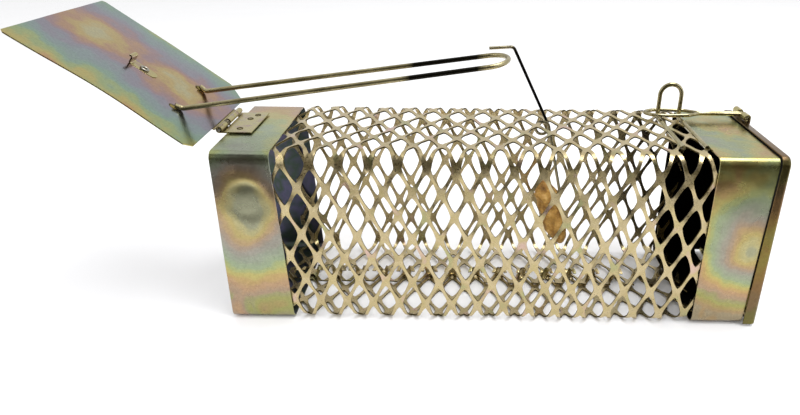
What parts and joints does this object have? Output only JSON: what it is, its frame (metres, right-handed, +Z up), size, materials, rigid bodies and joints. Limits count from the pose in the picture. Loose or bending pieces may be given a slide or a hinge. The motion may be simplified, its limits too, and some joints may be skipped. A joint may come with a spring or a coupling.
{
  "type": "live catch trap",
  "caption": "Wire-cage live catch trap with sheet-steel end collars, a lever-raised front door held by a baited trigger, and a hasped rear door.",
  "frame": {"origin": "centre of the front collar's underside, the face at the entrance end that the trap rests on", "axes": "+X from the entrance to the rear door, +Z up, Y across the cage"},
  "size_m": [0.3285, 0.087, 0.1367],
  "materials": {
    "collar_zinc": "yellow-zinc plated sheet, satin with an iridescent film",
    "door_zinc": "yellow-zinc plated sheet, satin with an iridescent film",
    "mesh_zinc": "yellow-zinc plated expanded metal",
    "wire_zinc": "yellow-zinc plated wire, glossy",
    "hinge_zinc": "yellow-zinc plated strip, glossy",
    "pin_steel": "bright drawn wire",
    "spring_steel": "drawn spring wire",
    "trigger_wire": "dark plated wire, semi-gloss",
    "bread": "dry crusty bread, matt"
  },
  "bodies": {
    "cage": {"front_collar": "collar_zinc", "rear_collar": "collar_zinc", "mesh_top": "mesh_zinc", "mesh_near_side": "mesh_zinc", "mesh_far_side": "mesh_zinc", "mesh_floor_near": "mesh_zinc", "mesh_floor_far": "mesh_zinc", "collar_hinge_leaf": "hinge_zinc", "front_hinge_pin": "pin_steel", "door_spring": "spring_steel", "rear_hinge_collar_leaf": "hinge_zinc", "rear_hinge_pin": "pin_steel", "staple": "wire_zinc"},
    "front_door": {"front_door": "door_zinc", "door_hinge_leaf": "hinge_zinc", "lever": "wire_zinc", "door_lug": "hinge_zinc", "door_lug_rivet": "pin_steel"},
    "trigger": {"trigger": "trigger_wire", "bait": "bread"},
    "rear_door": {"rear_door": "door_zinc", "rear_hinge_door_leaf": "hinge_zinc", "hasp_clip": "hinge_zinc"},
    "hasp": {"hasp": "wire_zinc"}
  },
  "joints": [
    {"name": "front_door_hinge", "type": "hinge", "parent": "cage", "child": "front_door", "pos_m": [-0.016, 0.0035, 0.08685], "axis": [0, -1, 0], "range_deg": [-11, 125.5], "deforming": ["door_spring"]},
    {"name": "trigger_pivot", "type": "hinge", "parent": "cage", "child": "trigger", "pos_m": [0.13763, 0.01063, 0.08269], "axis": [0, 1, 0], "range_deg": [0, 25]},
    {"name": "rear_door_hinge", "type": "hinge", "parent": "cage", "child": "rear_door", "pos_m": [0.23885, 0, 0.00245], "axis": [0, 1, 0], "range_deg": [0, 90]},
    {"name": "hasp_hinge", "type": "hinge", "parent": "rear_door", "child": "hasp", "pos_m": [0.24045, 0.022, 0.08805], "axis": [0, 1, 0], "range_deg": [0, 110]}
  ]
}
